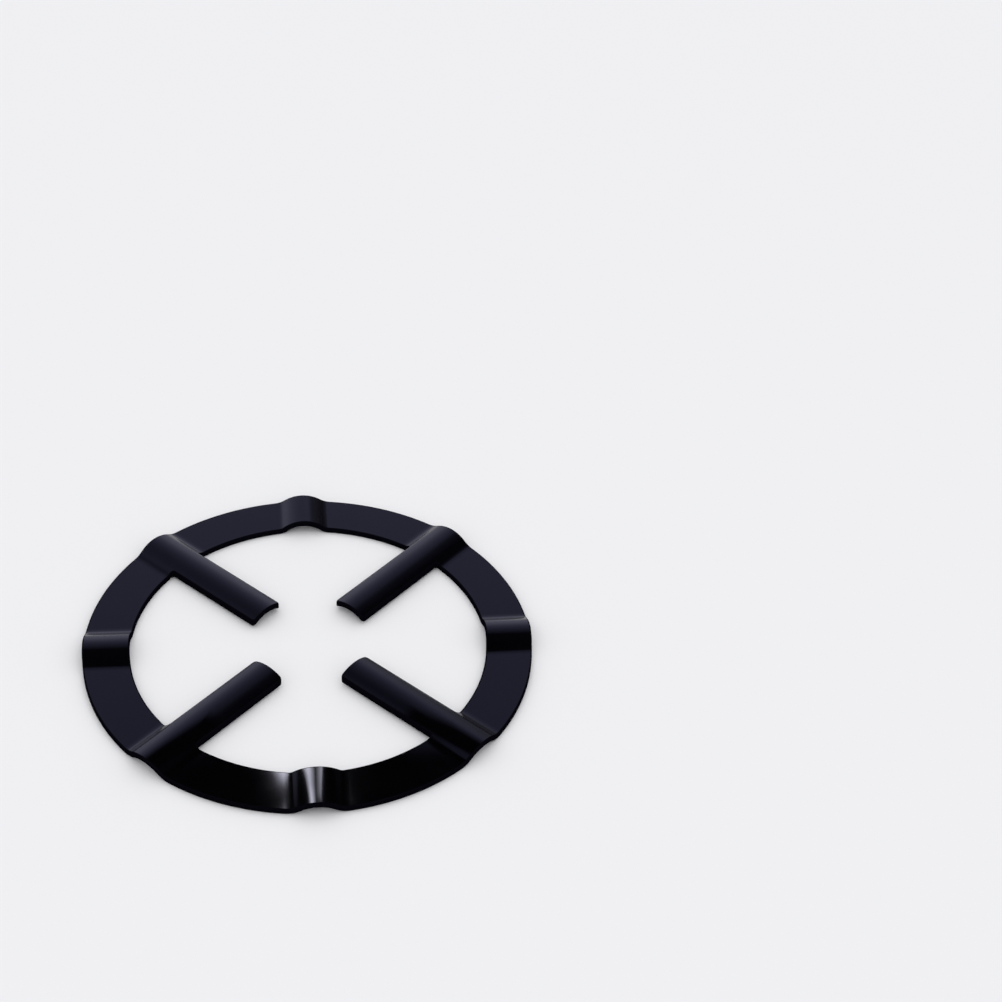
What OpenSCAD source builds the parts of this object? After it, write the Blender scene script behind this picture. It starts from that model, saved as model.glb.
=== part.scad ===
// Reducer ring for a gas hob: one stamped sheet, with raised ridges across
// a flat ring and arched arms that reach inwards over the burner.
// The origin is the ring's centre, on the surface that the flats lie on.

/* [Ring] */
// Outside diameter of the ring
outer_d = 145; // [120:1:200]
// Width of the flat ring between its outer and inner edge
band_w = 15; // [10:0.5:24]
// Thickness of the sheet with its coating
sheet_t = 2.1; // [1:0.1:3]

/* [Arms] */
// Number of arms
arm_n = 4; // [3:1:6]
// Width of an arm
arm_w = 12.4; // [8:0.2:16]
// Distance from the ring's centre to an arm's tip
tip_r = 19; // [16:0.5:40]
// Radius of the two corners at an arm's tip
tip_corner_r = 1.2; // [0.4:0.1:4]
// Radius in the corner where an arm leaves the ring
root_r = 1; // [0.5:0.1:6]

/* [Ridges] */
// Number of plain ridges between one arm and the next
plain_n = 1; // [0:1:2]
// Width of a ridge from foot to foot
ridge_w = 17; // [13:0.5:24]
// Rise of a ridge's crown above the flats
ridge_h = 2.8; // [1.5:0.1:5]
// Radius of the bend at a ridge's foot, on the upper face
foot_r = 2.5; // [0.5:0.1:4]

/* [Hidden] */
$fn = 180;
black = [0.09, 0.09, 0.11];

outer_r = outer_d / 2;
inner_r = outer_r - band_w;
ridge_n = arm_n * (plain_n + 1);
half_w = ridge_w / 2;

// The upper face of a ridge is three arcs that run into each other: a foot arc,
// the crown arc and a foot arc. The crown's radius follows from where the foot
// arcs end and how high the crown stands.
drop = ridge_h - foot_r;
crown_r = (half_w * half_w + drop * drop - foot_r * foot_r) / (2 * ridge_h);
bend_angle = asin(half_w / (crown_r + foot_r));

top_z = sheet_t + ridge_h;
crown_z = top_z - crown_r;
foot_z = sheet_t + foot_r;

// How far a cutting or trimmed solid runs past the edge it is cut to
past = 2;
// How far two shapes that become one run into each other
lap = 0.5;
// How much wider the arc of a foot or a root is drawn, so that it crosses what it
// runs into and doesn't only touch it
crossing = 0.004;

// All that lies under the three arcs of one face of a ridge, down to floor_z
module under_arcs(crown_radius, foot_radius, floor_z) {
    meet_z = crown_z + crown_radius * cos(bend_angle);
    inner_x = (crown_radius - lap) * sin(bend_angle);
    inner_z = crown_z + (crown_radius - lap) * cos(bend_angle);
    intersection() {
        translate([0, crown_z])
            circle(r = crown_radius);
        translate([-half_w, meet_z - lap])
            square([ridge_w, ridge_h + lap]);
    }
    difference() {
        polygon([[-half_w, floor_z], [half_w, floor_z], [half_w, foot_z],
                 [inner_x, inner_z], [-inner_x, inner_z], [-half_w, foot_z]]);
        for (side = [-1, 1])
            translate([side * half_w, foot_z])
                circle(r = foot_radius + crossing);
    }
}

// Straight bar along X with a given section, from one distance out to another
module bar(from_x, to_x) {
    translate([from_x, 0, 0])
        rotate([90, 0, 90])
            linear_extrude(to_x - from_x)
                children();
}

// Where a ridge starts: behind the arm's tip, or within the open middle
function ridge_start(i) = i % (plain_n + 1) == 0 ? tip_r - past : inner_r - half_w;

// Turn of an arm about the centre; the X axis lies halfway between two arms
function arm_turn(i) = (i + 1 / 2) * 360 / arm_n;

// Turn of a ridge about the centre; the plain ones are spread between the arms
function ridge_turn(i) = arm_turn(i / (plain_n + 1));

// Sheet before it is cut to its outline: flat, with the ridges pressed up. The
// arcs of the lower face have the same centres, a sheet's thickness away.
module pressed_sheet() {
    difference() {
        union() {
            cylinder(h = sheet_t, r = outer_r + past);
            for (i = [0 : ridge_n - 1])
                rotate(ridge_turn(i))
                    bar(ridge_start(i), outer_r + past)
                        under_arcs(crown_r, foot_r, sheet_t / 2);
        }
        for (i = [0 : ridge_n - 1])
            rotate(ridge_turn(i))
                bar(ridge_start(i) - past, outer_r + 2 * past)
                    under_arcs(crown_r - sheet_t, foot_r + sheet_t, -past);
    }
}

// Outline of one arm along X, cut square at the tip with rounded corners
module arm_outline() {
    translate([tip_r + tip_corner_r, -arm_w / 2])
        square([inner_r + band_w / 2 - tip_r - tip_corner_r, arm_w]);
    translate([tip_r, -arm_w / 2 + tip_corner_r])
        square([2 * tip_corner_r, arm_w - 2 * tip_corner_r]);
    for (side = [-1, 1])
        translate([tip_r + tip_corner_r, side * (arm_w / 2 - tip_corner_r)])
            circle(r = tip_corner_r);
}

// Widening of an arm's root, with a fillet into the ring's inner edge on each side
module root_outline() {
    centre_y = arm_w / 2 + root_r;
    centre_x = sqrt(pow(inner_r - root_r, 2) - pow(centre_y, 2));
    out = (inner_r + band_w / 2) / (inner_r - root_r);
    difference() {
        polygon([[centre_x, -centre_y], [centre_x * out, -centre_y * out],
                 [centre_x * out, centre_y * out], [centre_x, centre_y]]);
        for (side = [-1, 1])
            translate([centre_x, side * centre_y])
                circle(r = root_r + crossing);
    }
}

// Outline of the whole blank
module blank_outline() {
    difference() {
        circle(r = outer_r);
        circle(r = inner_r);
    }
    for (i = [0 : arm_n - 1])
        rotate(arm_turn(i)) {
            arm_outline();
            root_outline();
        }
}

// The finished part, one sheet
module reducer_ring() {
    color(black)
        intersection() {
            pressed_sheet();
            translate([0, 0, -past])
                linear_extrude(top_z + 2 * past)
                    blank_outline();
        }
}

reducer_ring();
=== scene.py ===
from math import asin, cos, pi, radians, sin, sqrt

import bmesh
import bpy
from mathutils import Matrix, Vector


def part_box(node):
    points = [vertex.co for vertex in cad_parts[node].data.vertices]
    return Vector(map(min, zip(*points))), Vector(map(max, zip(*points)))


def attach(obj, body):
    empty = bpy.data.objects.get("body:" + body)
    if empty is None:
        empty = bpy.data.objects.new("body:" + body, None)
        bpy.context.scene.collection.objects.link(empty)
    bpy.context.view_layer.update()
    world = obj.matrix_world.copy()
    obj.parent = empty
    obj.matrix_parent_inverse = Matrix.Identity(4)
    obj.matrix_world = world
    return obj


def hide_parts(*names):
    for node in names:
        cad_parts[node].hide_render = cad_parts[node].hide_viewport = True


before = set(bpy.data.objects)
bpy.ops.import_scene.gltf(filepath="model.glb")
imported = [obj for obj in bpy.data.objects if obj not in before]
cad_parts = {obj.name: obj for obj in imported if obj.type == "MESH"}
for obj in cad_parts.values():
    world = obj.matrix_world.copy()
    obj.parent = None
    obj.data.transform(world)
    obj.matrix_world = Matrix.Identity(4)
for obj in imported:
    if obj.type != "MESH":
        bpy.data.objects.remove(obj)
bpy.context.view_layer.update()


# Reducer ring
# One disc of mild steel sheet, blanked to its outline, rubbed smooth along the cut
# edges, pressed between ridged dies and then coated black all over.
low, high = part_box("reducer_ring")
outer_r = (high.x - low.x) / 2
band_w = 0.015
inner_r = outer_r - band_w
sheet_t = 0.0021
rim_r = 0.00045

arm_n = 4
arm_half = 0.0062
tip_r = 0.019
tip_corner_r = 0.0012
root_r = 0.001

ridge_n = 2 * arm_n
ridge_half = 0.0085
ridge_h = high.z - sheet_t
foot_in_r, foot_out_r = 0.0025, 0.007
drop = ridge_h - foot_in_r
crown_r = (ridge_half**2 + drop**2 - foot_in_r**2) / (2 * ridge_h)
crown_z = high.z - crown_r
step = 2 * pi / ridge_n
corner_steps, arm_side_steps, plain_side_steps, rim_steps = 6, 12, 16, 24


def arc(centre, radius, start, end, count):
    """Points along an arc, both ends included."""
    turns = [start + (end - start) * i / count for i in range(count + 1)]
    return [Vector((centre[0] + radius * cos(t), centre[1] + radius * sin(t))) for t in turns]


# The blank is laid out as one eighth of the ring with a plain stretch, and one
# eighth with an arm, whose root has a small fillet on each side.
root_y = arm_half + root_r
root_x = sqrt((inner_r - root_r) ** 2 - root_y**2)
root_turn = asin(root_y / (inner_r - root_r))
half_arm = (
    [Vector((tip_r, 0))]
    + arc((tip_r + tip_corner_r, arm_half - tip_corner_r), tip_corner_r, pi, pi / 2, corner_steps)
    + arc((root_x, root_y), root_r, -pi / 2, root_turn, corner_steps)
    + arc((0, 0), inner_r, root_turn, step / 2, arm_side_steps)[1:]
)
half_plain = arc((0, 0), inner_r, 0, step / 2, plain_side_steps)
rim = arc((0, 0), outer_r, step / 2, -step / 2, rim_steps)

blank = bmesh.new()
for half_inside, first_turn in ((half_plain, 0), (half_arm, step)):
    mirrored = [Vector((p.x, -p.y)) for p in half_inside[:0:-1]]
    outline = mirrored + half_inside + rim
    face = blank.faces.new([blank.verts.new((p.x, p.y, 0)) for p in outline])
    bmesh.ops.rotate(blank, verts=face.verts, matrix=Matrix.Rotation(first_turn, 3, "Z"))
    bmesh.ops.spin(
        blank,
        geom=[face, *face.edges, *face.verts],
        cent=(0, 0, 0),
        axis=(0, 0, 1),
        angle=2 * pi * (arm_n - 1) / arm_n,
        steps=arm_n - 1,
        use_duplicate=True,
    )
same_place = 1e-6
bmesh.ops.remove_doubles(blank, verts=blank.verts, dist=same_place)
bmesh.ops.recalc_face_normals(blank, faces=blank.faces)
raised = bmesh.ops.extrude_face_region(blank, geom=blank.faces[:])["geom"]
bmesh.ops.translate(
    blank, vec=(0, 0, sheet_t), verts=[g for g in raised if isinstance(g, bmesh.types.BMVert)]
)
bmesh.ops.recalc_face_normals(blank, faces=blank.faces)

# The cut edges are rounded on both faces, which leaves a narrow upright band. An edge is
# sharp where the normals of its two faces differ this much in height.
sharp = 0.5
cut_edges = [
    e
    for e in blank.edges
    if len(e.link_faces) == 2
    and abs(e.link_faces[0].normal.z - e.link_faces[1].normal.z) > sharp
]
bmesh.ops.bevel(
    blank,
    geom=cut_edges,
    affect="EDGES",
    offset=rim_r,
    offset_type="OFFSET",
    segments=4,
    profile=0.5,
    material=-1,
)

# The coating draws thin over the upright band and the roundings beside it, where a
# face's normal is further from upright than this.
level = 0.99
for face in blank.faces:
    face.material_index = int(abs(face.normal.z) < level)

# Lines are scribed along every ridge, so that the sheet can bend there
line_gap, line_n, on_line = 0.00025, 40, 1e-7
for turn in range(arm_n):
    across = Matrix.Rotation(turn * step, 3, "Z") @ Vector((0, 1, 0))
    for i in range(-line_n, line_n + 1):
        bmesh.ops.bisect_plane(
            blank,
            geom=blank.verts[:] + blank.edges[:] + blank.faces[:],
            dist=on_line,
            plane_co=across * line_gap * (i + 0.5),
            plane_no=across,
        )


def pressed(along, y, rest):
    """Height of a point of the flat sheet once it is pressed. The point lies y beside a
    ridge's middle, and the ridge's feet grow softer from the inner edge to the rim."""
    outward = min(max((along - inner_r) / (outer_r - inner_r), 0), 1)
    foot_r = foot_in_r + (foot_out_r - foot_in_r) * outward
    reach = crown_r + foot_r
    half = sqrt(ridge_h * (2 * reach - ridge_h))
    y = min(abs(y), half)

    def height(crown, foot):
        if y < crown * half / reach:
            return crown_z + sqrt(crown**2 - y**2)
        return sheet_t + foot_r - sqrt(foot**2 - (half - y) ** 2)

    under = height(crown_r - sheet_t, foot_r + sheet_t)
    return under + (height(crown_r, foot_r) - under) * rest / sheet_t


for vert in blank.verts:
    turn = round(Vector(vert.co.xy).angle_signed(Vector((1, 0))) / step) * step
    along, y = Matrix.Rotation(-turn, 2) @ Vector(vert.co.xy)
    vert.co.z = pressed(along, y, vert.co.z)

ring_mesh = bpy.data.meshes.new("reducer_ring_pressed")
blank.to_mesh(ring_mesh)
blank.free()
ring_mesh.shade_smooth()
ring = bpy.data.objects.new("reducer_ring_pressed", ring_mesh)
bpy.context.scene.collection.objects.link(ring)
weighted = ring.modifiers.new("coat_flow", "WEIGHTED_NORMAL")
weighted.weight = 100
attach(ring, "root")
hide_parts("reducer_ring")


def linear(hex_colour):
    """Linear RGBA from an sRGB hex colour."""
    parts = [int(hex_colour[i : i + 2], 16) / 255 for i in (1, 3, 5)]
    return [p / 12.92 if p <= 0.04045 else ((p + 0.055) / 1.055) ** 2.4 for p in parts] + [1]


def node(tree, kind, inputs=None, **settings):
    """Adds a node with its settings, and sets or links its inputs."""
    new = tree.nodes.new(kind)
    for name, value in settings.items():
        setattr(new, name, value)
    for name, value in (inputs or {}).items():
        if isinstance(value, bpy.types.NodeSocket):
            tree.links.new(value, new.inputs[name])
        else:
            new.inputs[name].default_value = value
    return new


# Heat-proof black stove enamel, sprayed on the steel and baked: a smooth blue-black film
# with a faint orange peel, a little glossier in some places than in others.
coating = bpy.data.materials.new("baked_black_stove_enamel")
coating.use_nodes = True
tree = coating.node_tree
tree.nodes.clear()
place = node(tree, "ShaderNodeTexCoord").outputs["Object"]
peel_mm, cloud_mm = 1.8, 12
peel = node(tree, "ShaderNodeTexNoise", {"Vector": place, "Scale": 1000 / peel_mm, "Detail": 2.0})
cloud = node(tree, "ShaderNodeTexNoise", {"Vector": place, "Scale": 1000 / cloud_mm, "Detail": 4.0})
gloss = node(
    tree,
    "ShaderNodeMapRange",
    {"Value": cloud.outputs["Fac"], "From Min": 0.3, "From Max": 0.7, "To Min": 0.13, "To Max": 0.19},
)
peel_bump = node(
    tree,
    "ShaderNodeBump",
    {"Height": peel.outputs["Fac"], "Strength": 1.0, "Distance": 0.000002},
)
film = node(
    tree,
    "ShaderNodeBsdfPrincipled",
    {
        "Base Color": linear("#010102"),
        "Roughness": gloss.outputs["Result"],
        "IOR": 1.5,
        "Specular Tint": linear("#e6e6ff"),
        "Normal": peel_bump.outputs["Normal"],
    },
)
node(tree, "ShaderNodeOutputMaterial", {"Surface": film.outputs["BSDF"]})
ring_mesh.materials.append(coating)

# The same enamel draws thin over the cut edges, which the punch left torn, and it stays
# rough and dull there.
grit_mm = 0.25
torn = bpy.data.materials.new("thin_enamel_on_cut_edge")
torn.use_nodes = True
tree = torn.node_tree
tree.nodes.clear()
place = node(tree, "ShaderNodeTexCoord").outputs["Object"]
grit = node(tree, "ShaderNodeTexNoise", {"Vector": place, "Scale": 1000 / grit_mm, "Detail": 3.0})
grit_bump = node(
    tree,
    "ShaderNodeBump",
    {"Height": grit.outputs["Fac"], "Strength": 1.0, "Distance": 0.00001},
)
dull = node(
    tree,
    "ShaderNodeBsdfPrincipled",
    {
        "Base Color": linear("#07070c"),
        "Roughness": 0.6,
        "Specular IOR Level": 0.0,
        "Normal": grit_bump.outputs["Normal"],
    },
)
node(tree, "ShaderNodeOutputMaterial", {"Surface": dull.outputs["BSDF"]})
ring_mesh.materials.append(torn)


# Floor
# A plain pale sweep of matt paper under the ring.
floor_half = 2.0
floor_mesh = bpy.data.meshes.new("floor")
sweep = bmesh.new()
bmesh.ops.create_grid(sweep, x_segments=1, y_segments=1, size=floor_half)
sweep.to_mesh(floor_mesh)
sweep.free()
floor = bpy.data.objects.new("floor", floor_mesh)
bpy.context.scene.collection.objects.link(floor)
paper = bpy.data.materials.new("matt_white_paper")
paper.use_nodes = True
tree = paper.node_tree
tree.nodes.clear()
sheen_free = node(
    tree,
    "ShaderNodeBsdfPrincipled",
    {"Base Color": linear("#f0f0f3"), "Roughness": 0.9, "Specular IOR Level": 0.1},
)
node(tree, "ShaderNodeOutputMaterial", {"Surface": sheen_free.outputs["BSDF"]})
floor_mesh.materials.append(paper)


# Room
# Even pale light all round. Gloss sees a wall behind the ring that is bright low down and
# fades to a dark ceiling, and darker walls to the right and in front. The camera sees the
# colour of the floor.
world = bpy.data.worlds.new("studio")
bpy.context.scene.world = world
world.use_nodes = True
tree = world.node_tree
tree.nodes.clear()


def ramp(tree, value, stops):
    """A colour ramp over a value, from pairs of position and colour."""
    new = node(tree, "ShaderNodeValToRGB", {"Fac": value})
    for stop_n, (position, colour) in enumerate(stops):
        if stop_n > 1:
            new.color_ramp.elements.new(1)
        stop = new.color_ramp.elements[stop_n]
        stop.position = position
        stop.color = linear(colour)
    return new.outputs["Color"]


direction = node(tree, "ShaderNodeTexCoord").outputs["Generated"]
axes = node(tree, "ShaderNodeSeparateXYZ", {"Vector": direction}).outputs
shades = (
    (0, "#c4c4dc"),
    (20, "#d4d4ec"),
    (40, "#a0a0c0"),
    (58, "#707088"),
    (68, "#202028"),
)
back_wall = ramp(tree, axes["Z"], [(sin(radians(height)), colour) for height, colour in shades])
right_wall = ramp(tree, axes["X"], ((0.2, "#ffffff"), (0.32, "#a0a0a0"), (0.6, "#404040")))
front = node(tree, "ShaderNodeMath", {0: axes["Y"], 1: -1.0}, operation="MULTIPLY")
front_wall = ramp(tree, front.outputs["Value"], ((0.0, "#ffffff"), (0.2, "#a0a0a0")))
walls = node(
    tree,
    "ShaderNodeMixRGB",
    {"Fac": 1.0, "Color1": right_wall, "Color2": front_wall},
    blend_type="MULTIPLY",
)
room = node(
    tree,
    "ShaderNodeMixRGB",
    {"Fac": 1.0, "Color1": back_wall, "Color2": walls.outputs["Color"]},
    blend_type="MULTIPLY",
)
seen_in_gloss = node(tree, "ShaderNodeBackground", {"Color": room.outputs["Color"]})
fill = node(tree, "ShaderNodeBackground", {"Color": linear("#ffffff"), "Strength": 0.92})
pale = node(tree, "ShaderNodeBackground", {"Color": linear("#f0f0f3")})
rays = node(tree, "ShaderNodeLightPath").outputs
light = node(
    tree,
    "ShaderNodeMixShader",
    {
        "Fac": rays["Is Glossy Ray"],
        1: fill.outputs["Background"],
        2: seen_in_gloss.outputs["Background"],
    },
)
both = node(
    tree,
    "ShaderNodeMixShader",
    {"Fac": rays["Is Camera Ray"], 1: light.outputs["Shader"], 2: pale.outputs["Background"]},
)
node(tree, "ShaderNodeOutputWorld", {"Surface": both.outputs["Shader"]})


# Lamp
# A wide soft light hangs behind and above the ring, so that its faint shadow falls to
# the front. Gloss doesn't show it.
soft_sun = bpy.data.lights.new("overhead_soft_light", "SUN")
soft_sun.energy = 0.3
soft_sun.angle = radians(60)
overhead = bpy.data.objects.new("overhead_soft_light", soft_sun)
towards_sun = Vector((0.15, 0.5, 0.9))
overhead.rotation_euler = towards_sun.to_track_quat("Z", "Y").to_euler()
overhead.visible_glossy = False
bpy.context.scene.collection.objects.link(overhead)


# Flag and strips
# A curved card of black felt with two wings stands over the ring's front, which mirrors
# it. Three strips of lit opal acrylic before it draw the pale patch beside the front ridge
# and the two fine lines on it. Only gloss sees them, and only from the front.
card_r, strip_r, left_strip_y = 0.042, 0.043, -0.055
card_foot, card_top, glow_top = 0.008, 0.15, 0.05
strip_strength, strip_clear_to, strip_solid_from = 20.0, 0.003, 0.004


def gloss_card(name, material, columns, cores, glow, strength, clear_to, solid_from):
    """A card between columns of points, which run from left to right as seen from the
    front. It is clear where its core is 0, and solid where that is 1. It is clear too up
    to one height, and solid from another. Its glow is a ramp from the floor to glow_top."""
    card = bmesh.new()
    core = card.verts.layers.float.new("core")
    rows = [[card.verts.new(point) for point in column] for column in columns]
    for row, share in zip(rows, cores):
        for vert in row:
            vert[core] = share
    for a, b in zip(rows, rows[1:]):
        for i in range(len(a) - 1):
            card.faces.new((a[i], b[i], b[i + 1], a[i + 1]))
    card_mesh = bpy.data.meshes.new(name)
    card.to_mesh(card_mesh)
    card.free()
    stand = bpy.data.objects.new(name, card_mesh)
    bpy.context.scene.collection.objects.link(stand)
    stand.visible_camera = False
    stand.visible_diffuse = False
    stand.visible_transmission = False
    stand.visible_shadow = False
    finish = bpy.data.materials.new(material)
    finish.use_nodes = True
    tree = finish.node_tree
    tree.nodes.clear()
    place = node(tree, "ShaderNodeTexCoord").outputs["Object"]
    height = node(tree, "ShaderNodeSeparateXYZ", {"Vector": place}).outputs["Z"]
    share = node(tree, "ShaderNodeMapRange", {"Value": height, "From Max": glow_top})
    shine = node(
        tree,
        "ShaderNodeEmission",
        {"Color": ramp(tree, share.outputs["Result"], glow), "Strength": strength},
    )
    fade = node(
        tree,
        "ShaderNodeMapRange",
        {"Value": height, "From Min": clear_to, "From Max": solid_from},
    )
    solid = node(
        tree,
        "ShaderNodeMath",
        {
            0: fade.outputs["Result"],
            1: node(tree, "ShaderNodeAttribute", attribute_name="core").outputs["Fac"],
        },
        operation="MULTIPLY",
    )
    see_through = node(tree, "ShaderNodeBsdfTransparent").outputs["BSDF"]
    from_front = node(
        tree,
        "ShaderNodeMixShader",
        {"Fac": solid.outputs["Value"], 1: see_through, 2: shine.outputs["Emission"]},
    )
    behind = node(tree, "ShaderNodeNewGeometry").outputs["Backfacing"]
    one_sided = node(
        tree, "ShaderNodeMixShader", {"Fac": behind, 1: from_front.outputs["Shader"], 2: see_through}
    )
    node(tree, "ShaderNodeOutputMaterial", {"Surface": one_sided.outputs["Shader"]})
    card_mesh.materials.append(finish)


def round_the_front(turn, radius):
    """A place on a circle about Z, turned from the front towards the right."""
    return (radius * sin(radians(turn)), -radius * cos(radians(turn)))


bend = [round_the_front(turn, card_r) for turn in range(-50, 50, 5)]
left_wing = [(-0.057, -0.042), (-0.046, -0.033), bend[0]]
right_wing = [bend[-1], (0.044, -0.031), (0.057, -0.042)]
black = ((0.0, "#000000"), (1.0, "#000000"))
for name, plan, clear_to, solid_from in (
    ("black_card_left_wing", left_wing, 0.012, 0.024),
    ("black_card", bend, 0.009, 0.017),
    ("black_card_right_wing", right_wing, 0.012, 0.026),
):
    columns = [[(*place, card_foot), (*place, card_top)] for place in plan]
    cores = [1.0] * len(plan)
    gloss_card(name, "black_felt", columns, cores, black, 0.0, clear_to, solid_from)


def strip(name, place, peak, rows):
    """A bright strip, from rows of a height in millimetres, the places of the left and the
    right edge along the front, and a grey. It is brightest at a share of its width, its
    peak, and fades to both edges."""
    columns = [
        [(*place(left + (right - left) * share), height / 1000) for height, left, right, _ in rows]
        for share in (0.0, peak, 1.0)
    ]
    glow = [(height / 1000 / glow_top, grey) for height, _, _, grey in rows]
    gloss_card(
        name,
        "lit_opal_acrylic",
        columns,
        [0.0, 1.0, 0.0],
        glow,
        strip_strength,
        strip_clear_to,
        strip_solid_from,
    )


def on_circle(turn):
    """A place on the strips' circle, turned in degrees from the front."""
    return round_the_front(turn, strip_r)


def on_left_plane(right_mm):
    """A place on the left strip's plane, in millimetres to the right of the middle."""
    return (right_mm / 1000, left_strip_y)


strip(
    "patch_strip",
    on_circle,
    0.9,
    ((13, -24, -9, "#ffffff"), (20, -17, -9, "#ffffff"), (25, -17, -9, "#000000")),
)
strip(
    "left_line_strip",
    on_left_plane,
    0.4,
    ((5, -6, 0, "#c0c0c0"), (15, -9, -1, "#b8b8b8"), (25, -11, -2, "#e0e0e0")),
)
strip(
    "right_line_strip",
    on_circle,
    0.9,
    ((13, -1, 10, "#a0a0a0"), (24, -1, 11, "#a0a0a0"), (36, -4, 11, "#808080")),
)


# Camera
# It looks down on the ring from the front and stands a little to the left of it. The
# ring's centre lies left of and below the middle of the picture.
picture_px = 1002
focal_px = 1886.0
elevation, turn, roll = radians(38.95), radians(8.98), radians(3.94)
ring_right, ring_up, ring_ahead = -0.0624, -0.0473, 0.615

camera = bpy.data.cameras.new("camera")
camera.sensor_fit = "HORIZONTAL"
camera.lens = camera.sensor_width * focal_px / picture_px
holder = bpy.data.objects.new("camera", camera)
pose = (
    Matrix.Rotation(-turn, 4, "Z")
    @ Matrix.Rotation(pi / 2 - elevation, 4, "X")
    @ Matrix.Rotation(roll, 4, "Z")
)
holder.matrix_world = pose @ Matrix.Translation((-ring_right, -ring_up, ring_ahead))
bpy.context.scene.collection.objects.link(holder)
bpy.context.scene.camera = holder
bpy.context.scene.view_settings.view_transform = "Standard"
